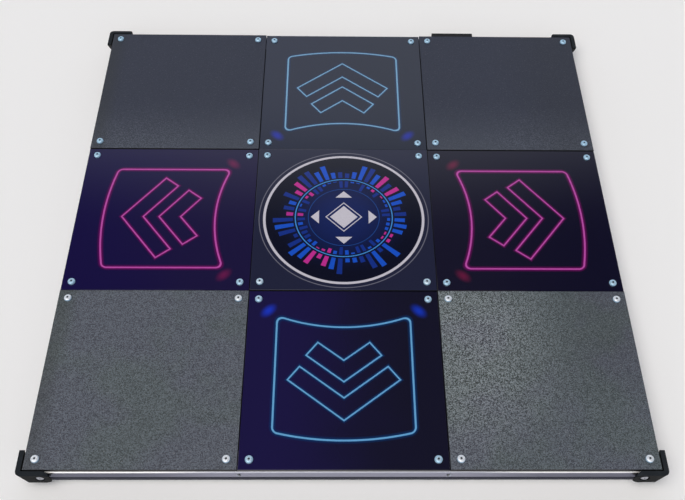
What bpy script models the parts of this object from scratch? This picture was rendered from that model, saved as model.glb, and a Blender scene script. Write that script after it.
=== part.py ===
"""A dance mat controller: a low square platform of nine tiles, four of them arrow panels that press down.

The origin is on the floor under the middle of the mat. +Y is the player's forward, +X the right and +Z up.
A tile is named by its column and row, and the heights below are measured from the floor.
"""

import math

import bmesh
import bpy
from mathutils import Matrix, Vector

# Gap left between pieces that touch
GAP = 0.0003

# The tile grid: its lines in X and in Y, and the joint left open between two tiles
TILE_PITCH = 0.280
GRID_LINES = [TILE_PITCH * step for step in (-1.5, -0.5, 0.5, 1.5)]
TILE_JOINT = 0.0010
TILE_FIELD = 0.4196

# Fixed tiles carry the feet between steps, arrow panels float above them on contact strips
FIXED_TILE_TOP = 0.0350
FIXED_TILE_THICKNESS = 0.0065
ARROW_PANEL_TOP = 0.0335
ARROW_PANEL_THICKNESS = 0.0040

# Button-head screws, one at each corner of each tile
SCREW_INSET = 0.0149
SHANK_RADIUS = 0.0030
CLEARANCE_RADIUS = 0.0034
HEAD_RADIUS = 0.0055
HEAD_HEIGHT = 0.0033
HEAD_RIM = 0.0011
HEAD_CROWN_RADIUS = 0.0028
SCREW_SIDES = 12

# Base board on three rubber strips
FOOT_HEIGHT = 0.0032
FOOT_SIZE = (0.780, 0.040)
FOOT_ROWS = {"front": -0.370, "middle": 0.0, "back": 0.370}
BASE_BOTTOM = FOOT_HEIGHT + GAP
BASE_TOP = 0.0115
BASE_HALF = 0.4210

# Aluminium rails: a low channel with a round top edge, whose upper flange carries the tiles
DECK_BOTTOM = BASE_TOP + GAP
SHELF_TOP = FIXED_TILE_TOP - FIXED_TILE_THICKNESS - GAP
RAIL_OUTER = 0.4210
RAIL_WALL = 0.0020
RAIL_EDGE_RADIUS = 0.0030
RAIL_EDGE_STEPS = 4
SHELF_INNER = 0.3900
FLANGE_INNER = 0.4000
MITRE_GAP = 0.0002

# Timber beams under the inner grid lines, halved where they cross
BEAM_WIDTH = 0.040
BEAM_HALF_LENGTH = SHELF_INNER - GAP
UPPER_HALF_BOTTOM = 0.0200
LOWER_HALF_TOP = 0.0157

# Plates that the screws thread into
PLATE_THICKNESS = 0.0025
CORNER_PLATE = (0.0300, 0.0300)
EDGE_PLATE = (0.0480, 0.0250)
INNER_PLATE = (0.0394, 0.0394)
PLATE_OUTER = 0.4170

# Corner guards, as deep as the rail and the tile edge above it
GUARD_INNER = RAIL_OUTER + GAP
GUARD_OUTER = 0.4280
GUARD_BOTTOM = DECK_BOTTOM
GUARD_TOP = 0.0348
GUARD_CHAMFER = 0.0085
GUARD_END_STEPS = 4

# The guards' legs along each side of the mat: where a leg ends, how round its end is, and how far the
# end's foot is cut back, so that a side leg slopes under
GUARD_LEGS = {
    "front": (0.3805, 0.0080, 0.0),
    "back": (0.3880, 0.0030, 0.0),
    "side": (0.3905, 0.0030, 0.0130),
}

# Under each arrow panel, in the panel's own frame: x across it, y away from the mat's middle
SENSOR_DECK = (-0.1192, -0.1192, 0.1192, 0.1087)
SENSOR_DECK_TOP = 0.0259
STRIP_CENTRE_X = 0.1080
STRIP_WIDTH = 0.0160
STRIP_ENDS = (-0.0950, 0.1000)
STRIP_TOP = ARROW_PANEL_TOP - ARROW_PANEL_THICKNESS - GAP
LED_TAPE_Y = -0.1075
LED_TAPE_SIZE = (0.2300, 0.0100, 0.0008)
LED_CHIP_SIZE = (0.0050, 0.0050, 0.0012)
LED_CHIP_X = 0.1100

# Controller box, let into the back rail under the back right tile
BOX_LEFT = 0.1643
BOX_RIGHT = 0.2392
BOX_FRONT = 0.3300
BOX_BOTTOM = 0.0143
BOX_TOP = SHELF_TOP
BOX_BACK = GUARD_OUTER
BOX_BACK_TOP = 0.0345
BOX_WALL = 0.0020
BOX_FOOT_LENGTH = 0.0120
SOCKET_SIZE = (0.0120, 0.0162, 0.0108)
SOCKET_HEIGHT = 0.0220
SOCKET_RECESS = 0.0005
SOCKET_MOUTH = (0.0086, 0.0090, 0.0079)
BOARD_BOTTOM = 0.0190
BOARD_THICKNESS = 0.0016
BOARD_MARGIN = 0.0040
POST_WIDTH = 0.0040
PROCESSOR_SIZE = (0.0120, 0.0120, 0.0015)
TERMINALS_SIZE = (0.0440, 0.0070, 0.0060)

# Colour, roughness and metallic value of each finish
FINISHES = {
    "textured_tile": ((0.060, 0.066, 0.080), 0.55, 0.0),
    "printed_panel": ((0.012, 0.010, 0.045), 0.12, 0.0),
    "brushed_aluminium": ((0.60, 0.60, 0.64), 0.32, 1.0),
    "zinc_steel": ((0.62, 0.68, 0.74), 0.28, 1.0),
    "black_plastic": ((0.018, 0.019, 0.022), 0.45, 0.0),
    "painted_board": ((0.030, 0.030, 0.034), 0.65, 0.0),
    "timber": ((0.45, 0.32, 0.19), 0.70, 0.0),
    "contact_foil": ((0.70, 0.70, 0.68), 0.35, 1.0),
    "led_tape": ((0.80, 0.82, 0.85), 0.50, 0.0),
    "circuit_board": ((0.02, 0.18, 0.08), 0.45, 0.0),
    "nickel_shell": ((0.66, 0.65, 0.62), 0.25, 1.0),
    "rubber": ((0.020, 0.020, 0.020), 0.80, 0.0),
}

# Grid columns and rows, and the arrow panels by column, row and the turn that faces them outward
COLUMN_NAMES = ("left", "centre", "right")
ROW_NAMES = ("front", "centre", "back")
ARROW_PANELS = {
    "up": (1, 2, 0.0),
    "left": (0, 1, math.pi / 2),
    "down": (1, 0, math.pi),
    "right": (2, 1, -math.pi / 2),
}


def clear_scene():
    for item in list(bpy.data.objects):
        bpy.data.objects.remove(item)


def new_collection(name):
    collection = bpy.data.collections.new(name)
    bpy.context.scene.collection.children.link(collection)
    return collection


def finish_material(finish):
    """The finish's Principled material, made once."""
    material = bpy.data.materials.get(finish)
    if material is None:
        colour, roughness, metallic = FINISHES[finish]
        material = bpy.data.materials.new(finish)
        material.use_nodes = True
        shader = material.node_tree.nodes["Principled BSDF"]
        shader.inputs["Base Color"].default_value = (*colour, 1.0)
        shader.inputs["Roughness"].default_value = roughness
        shader.inputs["Metallic"].default_value = metallic
    return material


def add_piece(name, mesh, finish, location=(0, 0, 0), turn=0.0):
    """A named sub-part of the mat, turned about the vertical."""
    piece = bpy.data.objects.new(name, mesh)
    piece.location = location
    piece.rotation_euler = (0, 0, turn)
    piece.parent = mat_root
    mesh.materials.clear()
    mesh.materials.append(finish_material(finish))
    parts.objects.link(piece)
    return piece


def add_cutter(name, mesh, location=(0, 0, 0)):
    cutter = bpy.data.objects.new(name, mesh)
    cutter.location = location
    cutter.hide_render = True
    cutter.display_type = "WIRE"
    cutters.objects.link(cutter)
    return cutter


def combine(piece, tool, operation):
    """Adds the tool's shape to the piece, or cuts it out."""
    modifier = piece.modifiers.new(tool.name, "BOOLEAN")
    modifier.operation = operation
    modifier.solver = "EXACT"
    modifier.object = tool


def mesh_from(shape, name):
    mesh = bpy.data.meshes.new(name)
    shape.to_mesh(mesh)
    shape.free()
    return mesh


def add_block(shape, low, high):
    """A box between two corners."""
    size = Vector(high) - Vector(low)
    centre = (Vector(high) + Vector(low)) / 2
    matrix = Matrix.Translation(centre) @ Matrix.Diagonal((*size, 1))
    bmesh.ops.create_cube(shape, size=1, matrix=matrix)


def block_mesh(name, low, high):
    shape = bmesh.new()
    add_block(shape, low, high)
    return mesh_from(shape, name)


def circle(x, y, radius, sides=SCREW_SIDES):
    angles = [2 * math.pi * step / sides for step in range(sides)]
    return [(x + radius * math.cos(angle), y + radius * math.sin(angle)) for angle in angles]


def plate_mesh(name, outlines, thickness):
    """A flat plate from a closed outline and the outlines of its holes, centred on its mid-plane."""
    curve = bpy.data.curves.new(name, "CURVE")
    curve.dimensions = "2D"
    curve.fill_mode = "BOTH"
    curve.extrude = thickness / 2
    for outline in outlines:
        spline = curve.splines.new("POLY")
        spline.points.add(len(outline) - 1)
        for point, (x, y) in zip(spline.points, outline):
            point.co = (x, y, 0, 1)
        spline.use_cyclic_u = True
    drawn = bpy.data.objects.new(name, curve)
    parts.objects.link(drawn)
    bpy.context.view_layer.update()
    graph = bpy.context.evaluated_depsgraph_get()
    mesh = bpy.data.meshes.new_from_object(drawn.evaluated_get(graph))
    bpy.data.objects.remove(drawn)
    shape = bmesh.new()
    shape.from_mesh(mesh)
    bmesh.ops.remove_doubles(shape, verts=shape.verts, dist=0.00001)
    shape.to_mesh(mesh)
    shape.free()
    mesh.name = name
    return mesh


def is_arrow_cell(column, row):
    return (column, row) in [(c, r) for c, r, turn in ARROW_PANELS.values()]


def cell_top(column, row):
    return ARROW_PANEL_TOP if is_arrow_cell(column, row) else FIXED_TILE_TOP


def cell_middle(index):
    return (GRID_LINES[index] + GRID_LINES[index + 1]) / 2


def cell_span(index):
    """A tile's two edges along one axis: open joints inside the grid, the tile field's edge outside."""
    low = GRID_LINES[index] + TILE_JOINT / 2
    high = GRID_LINES[index + 1] - TILE_JOINT / 2
    return max(low, -TILE_FIELD), min(high, TILE_FIELD)


def make_tile(name, column, row, finish, thickness):
    """A square plate with a clearance hole at each corner, its origin at the grid cell's centre."""
    centre_x, centre_y = cell_middle(column), cell_middle(row)
    left, right = [x - centre_x for x in cell_span(column)]
    front, back = [y - centre_y for y in cell_span(row)]
    reach = TILE_PITCH / 2 - SCREW_INSET
    outlines = [[(left, front), (right, front), (right, back), (left, back)]]
    for x in (-reach, reach):
        for y in (-reach, reach):
            outlines.append(circle(x, y, CLEARANCE_RADIUS))
    mesh = plate_mesh(name, outlines, thickness)
    height = cell_top(column, row) - thickness / 2
    add_piece(name, mesh, finish, (centre_x, centre_y, height))


def make_tiles():
    for name, (column, row, turn) in ARROW_PANELS.items():
        make_tile(f"arrow_panel_{name}", column, row, "printed_panel", ARROW_PANEL_THICKNESS)
    make_tile("centre_tile", 1, 1, "printed_panel", FIXED_TILE_THICKNESS)
    for column in (0, 2):
        for row in (0, 2):
            name = f"corner_tile_{ROW_NAMES[row]}_{COLUMN_NAMES[column]}"
            make_tile(name, column, row, "textured_tile", FIXED_TILE_THICKNESS)


def screws_at(line_x, line_y):
    """Where the screws round one crossing of the grid lines stand, and each one's tile top."""
    found = []
    for step_x in (-1, 0):
        for step_y in (-1, 0):
            column, row = line_x + step_x, line_y + step_y
            if column in range(3) and row in range(3):
                x = GRID_LINES[line_x] + (2 * step_x + 1) * SCREW_INSET
                y = GRID_LINES[line_y] + (2 * step_y + 1) * SCREW_INSET
                found.append((x, y, cell_top(column, row)))
    return found


def add_screw(shape, x, y, tile_top, bottom):
    """A button-head screw: a shank, and a head with a rim and a sloping crown."""
    under = tile_top + GAP
    profile = [(0, under + HEAD_HEIGHT), (HEAD_CROWN_RADIUS, under + HEAD_HEIGHT)]
    profile += [(HEAD_RADIUS, under + HEAD_RIM), (HEAD_RADIUS, under)]
    profile += [(SHANK_RADIUS, under), (SHANK_RADIUS, bottom), (0, bottom)]
    verts = [shape.verts.new((x + radius, y, z)) for radius, z in profile]
    edges = [shape.edges.new(pair) for pair in zip(verts, verts[1:])]
    bmesh.ops.spin(
        shape,
        geom=verts + edges,
        cent=(x, y, 0),
        axis=(0, 0, 1),
        angle=2 * math.pi,
        steps=SCREW_SIDES,
        use_merge=True,
    )


def make_fixing(name, line_x, line_y):
    """The screws round one grid crossing, with the plate that they thread into."""
    inside_x, inside_y = line_x in (1, 2), line_y in (1, 2)
    x, y = GRID_LINES[line_x], GRID_LINES[line_y]
    if inside_x and inside_y:
        width, depth = INNER_PLATE
        low, high = LOWER_HALF_TOP + GAP, UPPER_HALF_BOTTOM - GAP
    else:
        width, depth = CORNER_PLATE
        if inside_x:
            width, depth = EDGE_PLATE
        if inside_y:
            depth, width = EDGE_PLATE
        high = SHELF_TOP - RAIL_WALL - GAP
        low = high - PLATE_THICKNESS
        if not inside_x:
            x = math.copysign(PLATE_OUTER - width / 2, x)
        if not inside_y:
            y = math.copysign(PLATE_OUTER - depth / 2, y)
    corner = Vector((width / 2, depth / 2, 0))
    plate = block_mesh(name, -corner + Vector((0, 0, low)), corner + Vector((0, 0, high)))
    piece = add_piece(name, plate, "zinc_steel", (x, y, 0))
    shape = bmesh.new()
    for screw_x, screw_y, tile_top in screws_at(line_x, line_y):
        add_screw(shape, screw_x, screw_y, tile_top, (low + high) / 2)
    bmesh.ops.remove_doubles(shape, verts=shape.verts, dist=0.00001)
    bmesh.ops.recalc_face_normals(shape, faces=shape.faces)
    combine(piece, add_cutter(f"screws_{name}", mesh_from(shape, name)), "UNION")


def make_fixings():
    columns = ("left", "mid_left", "mid_right", "right")
    rows = ("front", "mid_front", "mid_back", "back")
    for line_x, column in enumerate(columns):
        for line_y, row in enumerate(rows):
            make_fixing(f"fixing_{row}_{column}", line_x, line_y)


def clearance_cutter(name, places, low, high):
    """Round holes that the screws pass through."""
    shape = bmesh.new()
    for x, y in places:
        matrix = Matrix.Translation((x, y, (low + high) / 2))
        bmesh.ops.create_cone(
            shape,
            cap_ends=True,
            segments=SCREW_SIDES,
            radius1=CLEARANCE_RADIUS,
            radius2=CLEARANCE_RADIUS,
            depth=high - low,
            matrix=matrix,
        )
    return add_cutter(name, mesh_from(shape, name))


def rail_mesh(name):
    """A channel along X with its outer side at -Y, its top edge rounded and both ends mitred."""
    edge = []
    for step in range(RAIL_EDGE_STEPS + 1):
        angle = math.pi / 2 * step / RAIL_EDGE_STEPS
        outward = RAIL_OUTER + RAIL_EDGE_RADIUS * (math.cos(angle) - 1)
        edge.append((outward, SHELF_TOP + RAIL_EDGE_RADIUS * (math.sin(angle) - 1)))
    profile = [
        (RAIL_OUTER, DECK_BOTTOM),
        *edge,
        (SHELF_INNER, SHELF_TOP),
        (SHELF_INNER, SHELF_TOP - RAIL_WALL),
        (RAIL_OUTER - RAIL_WALL, SHELF_TOP - RAIL_WALL),
        (RAIL_OUTER - RAIL_WALL, DECK_BOTTOM + RAIL_WALL),
        (FLANGE_INNER, DECK_BOTTOM + RAIL_WALL),
        (FLANGE_INNER, DECK_BOTTOM),
    ]
    mesh = plate_mesh(name, [profile], 2 * RAIL_OUTER)
    for vertex in mesh.vertices:
        outward, height, along = vertex.co
        end = outward - MITRE_GAP
        vertex.co = (math.copysign(end, -along), -outward, height)
    return mesh


def make_rails():
    """Four rails, the front one turned to each side, with the back one cut open for the controller box."""
    reach = GRID_LINES[3] - SCREW_INSET
    inner = [GRID_LINES[line] + side * SCREW_INSET for line in (1, 2) for side in (-1, 1)]
    places = [(x, -reach) for x in [-reach, *inner, reach]]
    for quarter, name in enumerate(("front", "right", "back", "left")):
        angle = quarter * math.pi / 2
        turn = Matrix.Rotation(angle, 3, "Z")
        rail = add_piece(f"rail_{name}", rail_mesh(f"rail_{name}"), "brushed_aluminium", turn=angle)
        turned = [(turn @ Vector((*place, 0))).xy for place in places]
        low, high = SHELF_TOP - 2 * RAIL_WALL, SHELF_TOP + RAIL_WALL
        combine(rail, clearance_cutter(f"rail_holes_{name}", turned, low, high), "DIFFERENCE")
        if name == "back":
            low = (BOX_LEFT - GAP, SHELF_INNER - BOX_WALL, BOX_BOTTOM - GAP)
            high = (BOX_RIGHT + GAP, GUARD_OUTER, FIXED_TILE_TOP)
            combine(rail, add_cutter("rail_window", block_mesh("rail_window", low, high)), "DIFFERENCE")


def make_beam(name, x, y, turn, notch_low, notch_high):
    """A beam along its own X, halved where it crosses two others."""
    half = BEAM_WIDTH / 2
    low, high = (-BEAM_HALF_LENGTH, -half, DECK_BOTTOM), (BEAM_HALF_LENGTH, half, SHELF_TOP)
    beam = add_piece(f"beam_{name}", block_mesh(f"beam_{name}", low, high), "timber", (x, y, 0), turn)
    notches = bmesh.new()
    reach = half + GAP
    for crossing in (GRID_LINES[1], GRID_LINES[2]):
        low, high = (crossing - reach, -BEAM_WIDTH, notch_low), (crossing + reach, BEAM_WIDTH, notch_high)
        add_block(notches, low, high)
    cutter = add_cutter(f"beam_notches_{name}", mesh_from(notches, f"beam_notches_{name}"), (x, y, 0))
    cutter.rotation_euler = (0, 0, turn)
    combine(beam, cutter, "DIFFERENCE")
    return beam


def make_beams():
    for line, name in ((1, "left"), (2, "right")):
        make_beam(name, GRID_LINES[line], 0, math.pi / 2, LOWER_HALF_TOP, SHELF_TOP + BEAM_WIDTH)
    for line, name in ((1, "front"), (2, "back")):
        beam = make_beam(name, 0, GRID_LINES[line], 0, DECK_BOTTOM - BEAM_WIDTH, UPPER_HALF_BOTTOM)
        places = [(x, y) for line_x in (1, 2) for x, y, top in screws_at(line_x, line)]
        low, high = UPPER_HALF_BOTTOM - RAIL_WALL, SHELF_TOP + RAIL_WALL
        combine(beam, clearance_cutter(f"beam_holes_{name}", places, low, high), "DIFFERENCE")


def make_guards():
    """L-shaped guards round the frame's corners, each drawn for the back right one and turned into place."""
    corners = (("back", "right"), ("back", "left"), ("front", "left"), ("front", "right"))
    for quarter, (row, column) in enumerate(corners):
        # The leg along the drawing's X and the one along its Y, which each quarter turn swaps
        legs = [GUARD_LEGS[row], GUARD_LEGS["side"]]
        if quarter % 2:
            legs.reverse()
        end_x, end_y = legs[0][0], legs[1][0]
        outline = [
            (GUARD_INNER, end_y),
            (GUARD_OUTER, end_y),
            (GUARD_OUTER, GUARD_OUTER - GUARD_CHAMFER),
            (GUARD_OUTER - GUARD_CHAMFER, GUARD_OUTER),
            (end_x, GUARD_OUTER),
            (end_x, GUARD_INNER),
            (GUARD_INNER, GUARD_INNER),
        ]
        mesh = plate_mesh(f"corner_guard_{row}_{column}", [outline], GUARD_TOP - GUARD_BOTTOM)
        shape_guard_ends(mesh, legs)
        height = (GUARD_BOTTOM + GUARD_TOP) / 2
        add_piece(mesh.name, mesh, "black_plastic", (0, 0, height), quarter * math.pi / 2)


def shape_guard_ends(mesh, legs):
    """Slopes each leg's end face and rounds its upper and lower edge."""
    shape = bmesh.new()
    shape.from_mesh(mesh)
    bmesh.ops.dissolve_limit(shape, angle_limit=math.radians(1), verts=shape.verts, edges=shape.edges)
    for axis, (end, radius, slope) in enumerate(legs):
        edges = []
        for edge in shape.edges:
            low, high = sorted(vertex.co.z for vertex in edge.verts)
            if high - low < GAP and all(abs(vertex.co[axis] - end) < GAP for vertex in edge.verts):
                edges.append(edge)
        for edge in edges:
            for vertex in edge.verts:
                if vertex.co.z < 0:
                    vertex.co[axis] += slope
        bmesh.ops.bevel(
            shape,
            geom=edges,
            offset=radius,
            segments=GUARD_END_STEPS,
            profile=0.5,
            affect="EDGES",
        )
    shape.to_mesh(mesh)
    shape.free()


def make_contact_strip(name, middle, centre, turn):
    low = (middle - STRIP_WIDTH / 2, STRIP_ENDS[0], SENSOR_DECK_TOP + GAP)
    high = (middle + STRIP_WIDTH / 2, STRIP_ENDS[1], STRIP_TOP)
    add_piece(name, block_mesh(name, low, high), "contact_foil", centre, turn)


def make_led_tape(name, centre, turn):
    """A thin tape across the deck with a light chip near each end."""
    length, width, thickness = LED_TAPE_SIZE
    bottom = SENSOR_DECK_TOP + GAP
    low = (-length / 2, LED_TAPE_Y - width / 2, bottom)
    high = (length / 2, LED_TAPE_Y + width / 2, bottom + thickness)
    tape = add_piece(name, block_mesh(name, low, high), "led_tape", centre, turn)
    chips = bmesh.new()
    chip_x, chip_y, chip_z = LED_CHIP_SIZE
    for x in (-LED_CHIP_X, LED_CHIP_X):
        low = (x - chip_x / 2, LED_TAPE_Y - chip_y / 2, bottom + thickness / 2)
        high = (x + chip_x / 2, LED_TAPE_Y + chip_y / 2, bottom + thickness + chip_z)
        add_block(chips, low, high)
    cutter = add_cutter(f"chips_{name}", mesh_from(chips, f"chips_{name}"), centre)
    cutter.rotation_euler = (0, 0, turn)
    combine(tape, cutter, "UNION")


def make_sensors():
    """Under each arrow panel: a deck, two contact strips and a tape with two light chips."""
    left, front, right, back = SENSOR_DECK
    for name, (column, row, turn) in ARROW_PANELS.items():
        centre = (cell_middle(column), cell_middle(row), 0)
        low, high = (left, front, DECK_BOTTOM), (right, back, SENSOR_DECK_TOP)
        deck = block_mesh(f"sensor_deck_{name}", low, high)
        add_piece(deck.name, deck, "timber", centre, turn)
        make_contact_strip(f"contact_strip_{name}_a", -STRIP_CENTRE_X, centre, turn)
        make_contact_strip(f"contact_strip_{name}_b", STRIP_CENTRE_X, centre, turn)
        make_led_tape(f"led_tape_{name}", centre, turn)


def make_controller():
    """A tray that is open under its tile, with a circuit board and a cable socket in its back wall."""
    centre_x = (BOX_LEFT + BOX_RIGHT) / 2
    foot_back = BOX_FRONT + BOX_FOOT_LENGTH
    block_front = TILE_FIELD + GAP
    outline = [
        (BOX_FRONT, DECK_BOTTOM),
        (foot_back, DECK_BOTTOM),
        (foot_back, BOX_BOTTOM),
        (BOX_BACK, BOX_BOTTOM),
        (BOX_BACK, BOX_BACK_TOP),
        (block_front, BOX_BACK_TOP),
        (block_front, BOX_TOP),
        (BOX_FRONT, BOX_TOP),
    ]
    mesh = plate_mesh("controller_box", [outline], BOX_RIGHT - BOX_LEFT)
    mesh.transform(Matrix(((0, 0, 1, 0), (1, 0, 0, 0), (0, 1, 0, 0), (0, 0, 0, 1))))
    box = add_piece("controller_box", mesh, "black_plastic", (centre_x, 0, 0))

    low = (BOX_LEFT + BOX_WALL, BOX_FRONT + BOX_WALL, BOX_BOTTOM + BOX_WALL)
    high = (BOX_RIGHT - BOX_WALL, TILE_FIELD - GAP, BOX_TOP + BOX_WALL)
    combine(box, add_cutter("tray_hollow", block_mesh("tray_hollow", low, high)), "DIFFERENCE")

    width, length, tall = SOCKET_SIZE
    socket_back = BOX_BACK - SOCKET_RECESS
    socket_front = socket_back - length
    low = (centre_x - width / 2 - GAP, socket_front, SOCKET_HEIGHT - tall / 2 - GAP)
    high = (centre_x + width / 2 + GAP, BOX_BACK + BOX_WALL, SOCKET_HEIGHT + tall / 2 + GAP)
    combine(box, add_cutter("socket_window", block_mesh("socket_window", low, high)), "DIFFERENCE")

    low = (-width / 2, socket_front, -tall / 2)
    shell = block_mesh("usb_socket", low, (width / 2, socket_back, tall / 2))
    socket = add_piece("usb_socket", shell, "nickel_shell", (centre_x, 0, SOCKET_HEIGHT))
    mouth_x, mouth_y, mouth_z = SOCKET_MOUTH
    low = (-mouth_x / 2, socket_back - mouth_y, -mouth_z / 2)
    mouth = block_mesh("socket_mouth", low, (mouth_x / 2, BOX_BACK + BOX_WALL, mouth_z / 2))
    combine(socket, add_cutter("socket_mouth", mouth, (centre_x, 0, SOCKET_HEIGHT)), "DIFFERENCE")

    make_board(centre_x, socket_front - GAP)


def make_board(centre_x, back):
    """The circuit board on four posts, with a processor and a row of terminals."""
    front = BOX_FRONT + BOX_WALL + BOARD_MARGIN
    half = (BOX_RIGHT - BOX_LEFT) / 2 - BOARD_MARGIN
    top = BOARD_BOTTOM + BOARD_THICKNESS
    board = block_mesh("controller_board", (-half, front, BOARD_BOTTOM), (half, back, top))
    piece = add_piece("controller_board", board, "circuit_board", (centre_x, 0, 0))
    fittings = bmesh.new()
    post_bottom, post_top = BOX_BOTTOM + BOX_WALL + GAP, top - GAP
    reach = POST_WIDTH / 2
    for x in (-half + POST_WIDTH, half - POST_WIDTH):
        for y in (front + POST_WIDTH, back - POST_WIDTH):
            add_block(fittings, (x - reach, y - reach, post_bottom), (x + reach, y + reach, post_top))
    terminals_y = front + TERMINALS_SIZE[1]
    middle = (front + back) / 2
    for (width, length, height), y in ((PROCESSOR_SIZE, middle), (TERMINALS_SIZE, terminals_y)):
        low = (-width / 2, y - length / 2, top - GAP)
        add_block(fittings, low, (width / 2, y + length / 2, top + height))
    cutter = add_cutter("board_fittings", mesh_from(fittings, "board_fittings"), (centre_x, 0, 0))
    combine(piece, cutter, "UNION")


def make_base():
    half_x, half_y = [side / 2 for side in FOOT_SIZE]
    for name, y in FOOT_ROWS.items():
        foot = block_mesh(f"foot_strip_{name}", (-half_x, -half_y, 0), (half_x, half_y, FOOT_HEIGHT))
        add_piece(foot.name, foot, "rubber", (0, y, 0))
    low = (-BASE_HALF, -BASE_HALF, BASE_BOTTOM)
    base = block_mesh("base_board", low, (BASE_HALF, BASE_HALF, BASE_TOP))
    add_piece("base_board", base, "painted_board")


clear_scene()
parts = new_collection("dance_mat_controller")
cutters = new_collection("cutters")
mat_root = bpy.data.objects.new("dance_mat_root", None)
parts.objects.link(mat_root)

make_base()
make_rails()
make_beams()
make_guards()
make_sensors()
make_controller()
make_tiles()
make_fixings()
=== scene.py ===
# %% [markdown]
# # A dance mat controller
#
# A dance mat is a low platform of nine tiles in an aluminium frame. The player stands on the five fixed tiles
# and steps on the four arrow panels, which sink about a millimetre onto contact strips. The engineering model
# of it, with its moving bodies, is loaded first and never changed. This lesson builds the fine shapes and the
# finishes round it, one piece at a time, as a maker would.

import math
from contextlib import contextmanager

import bpy
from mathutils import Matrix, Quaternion, Vector


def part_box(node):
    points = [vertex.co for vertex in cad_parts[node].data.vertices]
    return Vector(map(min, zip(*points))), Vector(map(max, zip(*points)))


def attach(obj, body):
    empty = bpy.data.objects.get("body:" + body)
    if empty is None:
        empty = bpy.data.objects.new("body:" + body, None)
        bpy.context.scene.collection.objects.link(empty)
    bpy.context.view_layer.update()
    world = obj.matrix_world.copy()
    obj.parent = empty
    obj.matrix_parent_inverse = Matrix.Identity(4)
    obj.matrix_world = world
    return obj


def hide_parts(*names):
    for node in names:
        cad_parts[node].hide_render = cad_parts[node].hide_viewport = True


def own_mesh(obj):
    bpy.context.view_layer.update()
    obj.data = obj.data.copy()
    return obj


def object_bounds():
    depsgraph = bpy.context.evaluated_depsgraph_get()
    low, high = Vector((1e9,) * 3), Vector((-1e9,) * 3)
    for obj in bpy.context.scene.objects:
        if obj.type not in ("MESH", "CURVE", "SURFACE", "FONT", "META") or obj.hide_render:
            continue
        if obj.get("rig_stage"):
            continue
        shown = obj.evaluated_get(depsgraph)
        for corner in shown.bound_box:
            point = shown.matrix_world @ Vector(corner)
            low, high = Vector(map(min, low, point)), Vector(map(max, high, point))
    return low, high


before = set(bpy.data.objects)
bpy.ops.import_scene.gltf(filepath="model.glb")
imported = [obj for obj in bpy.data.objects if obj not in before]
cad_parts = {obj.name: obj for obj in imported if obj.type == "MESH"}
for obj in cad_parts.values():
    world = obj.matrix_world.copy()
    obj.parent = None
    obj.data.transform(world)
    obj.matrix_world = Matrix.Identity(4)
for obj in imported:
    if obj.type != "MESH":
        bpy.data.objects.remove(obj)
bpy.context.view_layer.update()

# %% [markdown]
# ## The camera
#
# The picture was taken by someone standing in front of the mat and looking down at it. A camera can be placed
# by eye and nudged until things line up. Here its place and its three angles were worked out from the spots
# where the thirty-six screws appear in the picture, because screws on a known grid fix a camera very well.
# They also showed that the picture was trimmed a little more on one side, which the lens's small shift
# stands for.

# %% Camera
lens = bpy.data.cameras.new("camera")
lens.lens = 47.93
lens.shift_x = -0.0116
camera = bpy.data.objects.new("camera", lens)
bpy.context.scene.collection.objects.link(camera)
bpy.context.scene.camera = camera

azimuth, elevation, roll = [math.radians(angle) for angle in (-1.605, 54.441, 1.502)]
level = math.cos(elevation)
towards_camera = Vector((math.sin(azimuth) * level, -math.cos(azimuth) * level, math.sin(elevation)))
camera.location = (-0.01196, -0.87951, 1.17327)
camera.rotation_mode = "QUATERNION"
camera.rotation_quaternion = (-towards_camera).to_track_quat("-Z", "Y") @ Quaternion((0, 0, 1), roll)
bpy.context.scene.view_settings.view_transform = "Standard"
print("camera at", [round(value, 3) for value in camera.location])

# %% [markdown]
# ## Colours and node arithmetic
#
# Colours are easiest to read off a screen, where they run from 0 to 255, but shader nodes want linear light.
# One small function converts them on their way into a node's socket.
#
# A printed pattern is a formula, and a formula made of Math nodes by hand is slow to build and hard to read.
# The class below wraps a node's output, so that a line of Python such as `1 - mask * 0.5` adds the Math nodes
# itself. Every other kind of node comes from one method, `node`.

# %% Colours and node arithmetic
def colour(red, green, blue):
    """A colour given as on a screen, turned into the linear light that shaders use."""
    scaled = [value / 255 for value in (red, green, blue)]
    linear = [value / 12.92 if value <= 0.04045 else ((value + 0.055) / 1.055) ** 2.4 for value in scaled]
    return (*linear, 1.0)


class Value:
    """A node's output that Python can calculate with: its operators add Math nodes."""

    def __init__(self, nodes, socket):
        self.nodes, self.socket = nodes, socket

    def math(self, operation, *others):
        return self.nodes.node("ShaderNodeMath", {"operation": operation}, dict(enumerate((self, *others))))

    def step(self, low, high):
        """A soft switch: 0 up to low, 1 from high on."""
        settings = {"interpolation_type": "SMOOTHSTEP"}
        return self.nodes.node("ShaderNodeMapRange", settings, {0: self, 1: low, 2: high})

    def mix(self, first, second):
        """A blend of two colours: the first where the value is 0, the second where it is 1."""
        return self.nodes.node("ShaderNodeMix", {"data_type": "RGBA"}, {0: self, 6: first, 7: second}, 2)

    def __add__(self, other):
        return self.math("ADD", other)

    def __sub__(self, other):
        return self.math("SUBTRACT", other)

    def __rsub__(self, other):
        return self * -1 + other

    def __mul__(self, other):
        return self.math("MULTIPLY", other)

    def __truediv__(self, other):
        return self.math("DIVIDE", other)

    def __pow__(self, other):
        return self.math("POWER", other)

    def __abs__(self):
        return self.math("ABSOLUTE")

    __radd__, __rmul__ = __add__, __mul__


def length(x, y):
    return (x * x + y * y) ** 0.5


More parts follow.
